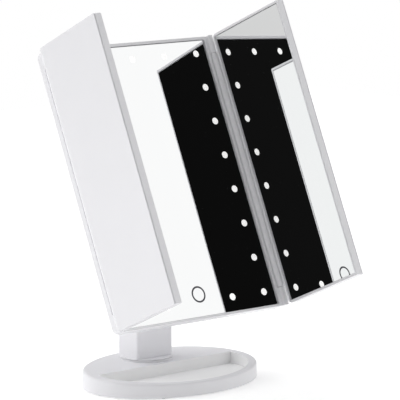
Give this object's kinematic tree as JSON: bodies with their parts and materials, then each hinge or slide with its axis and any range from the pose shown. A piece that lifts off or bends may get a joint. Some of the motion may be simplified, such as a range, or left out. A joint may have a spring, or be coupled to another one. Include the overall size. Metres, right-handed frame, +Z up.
{
  "type": "lighted vanity mirror",
  "caption": "Free-standing trifold vanity mirror on an oval base: lit centre mirror with touch switch, two folding side mirrors, tilting head and swivelling neck.",
  "frame": {"origin": "on the table, at the centre of the round pad under the swivel, on the neck's swivel axis", "axes": "+Z up along the swivel axis; the centre mirror faces -Y, leaning back; +X is to the right of somebody standing in front of the mirror"},
  "size_m": [0.1958, 0.1844, 0.3075],
  "materials": {
    "base_plastic": "satin white moulded shell",
    "neck_plastic": "satin white moulded shell",
    "housing_plastic": "gloss white moulded housing",
    "wing_plastic": "gloss white moulded housing",
    "mirror": "silvered float glass",
    "window_white": "milky white diffusing light window",
    "touch_print": "dark printed ring",
    "adhesive": "double-sided foam tape",
    "foam": "closed-cell foam sheet",
    "circuit_board": "green solder mask over glass-epoxy",
    "lamp_board": "white solder mask over glass-epoxy",
    "lamp": "moulded lamp package with yellow phosphor",
    "component": "black epoxy packages",
    "socket_metal": "tinned pressed shell",
    "switch_black": "black moulded nylon",
    "cell_jacket": "printed shrink sleeve over steel",
    "contact_metal": "nickel-plated spring strip",
    "tray_plastic": "matt white moulding",
    "bracket_metal": "white-enamelled die casting",
    "fastener_steel": "zinc-plated steel",
    "friction_fibre": "brown fibre washer",
    "weight_iron": "cast iron ballast, painted",
    "plate_plastic": "matt white moulded plate",
    "foot_rubber": "grey rubber foot"
  },
  "bodies": {
    "base": {"base_shell": "base_plastic", "base_bottom_plate": "plate_plastic", "base_weight": "weight_iron", "rubber_feet": "foot_rubber", "base_screws": "fastener_steel"},
    "neck": {"neck_foot": "neck_plastic", "neck_front_shell": "neck_plastic", "neck_rear_shell": "neck_plastic", "neck_head": "neck_plastic", "neck_screws": "fastener_steel", "swivel_spring_washer": "fastener_steel", "swivel_retainer": "fastener_steel", "swivel_screw": "fastener_steel"},
    "head": {"front_frame": "housing_plastic", "rear_cover": "housing_plastic", "mirror_glass": "mirror", "mirror_adhesive": "adhesive", "rear_cover_screws": "fastener_steel", "left_hinge_pins": "fastener_steel", "right_hinge_pins": "fastener_steel", "led_windows": "window_white", "leds": "lamp", "led_board_right": "lamp_board", "led_board_left": "lamp_board", "led_board_top": "lamp_board", "led_board_bottom": "lamp_board", "touch_ring": "touch_print", "touch_sensor": "circuit_board", "control_board": "circuit_board", "board_components": "component", "board_screws": "fastener_steel", "usb_socket": "socket_metal", "power_switch": "switch_black", "battery_tray": "tray_plastic", "batteries": "cell_jacket", "battery_contacts": "contact_metal", "hinge_bracket": "bracket_metal", "bracket_screws": "fastener_steel", "tilt_bolt": "fastener_steel", "tilt_nut": "fastener_steel", "friction_washers": "friction_fibre"},
    "right_wing": {"right_wing_shell": "wing_plastic", "right_wing_frame": "wing_plastic", "right_wing_mirror": "mirror", "right_wing_foam_pad": "foam"},
    "left_wing": {"left_wing_shell": "wing_plastic", "left_wing_frame": "wing_plastic", "left_wing_mirror": "mirror", "left_wing_foam_pad": "foam"},
    "battery_door": {"battery_door": "housing_plastic"},
    "power_slider": {"power_slider": "switch_black"}
  },
  "joints": [
    {"name": "swivel", "type": "hinge", "parent": "base", "child": "neck", "pos_m": [0, 0, 0.016], "axis": [0, 0, 1], "range_deg": [-90, 90]},
    {"name": "tilt", "type": "hinge", "parent": "neck", "child": "head", "pos_m": [0, 0, 0.112], "axis": [-1, 0, 0], "range_deg": [-24.66, 65.34]},
    {"name": "right_wing_hinge", "type": "hinge", "parent": "head", "child": "right_wing", "pos_m": [0.0859, -0.02823, 0.16517], "axis": [0, 0.4172, 0.9088], "range_deg": [-94.5, 85.5]},
    {"name": "left_wing_hinge", "type": "hinge", "parent": "head", "child": "left_wing", "pos_m": [-0.0859, -0.02823, 0.16517], "axis": [0, -0.4172, -0.9088], "range_deg": [-91.5, 88.5]},
    {"name": "battery_door_slide", "type": "slide", "parent": "head", "child": "battery_door", "axis": [0, 0.4172, 0.9088], "range_m": [0, 0.012]},
    {"name": "power_switch_slide", "type": "slide", "parent": "head", "child": "power_slider", "axis": [0, 0.4172, 0.9088], "range_m": [0, 0.004]}
  ]
}
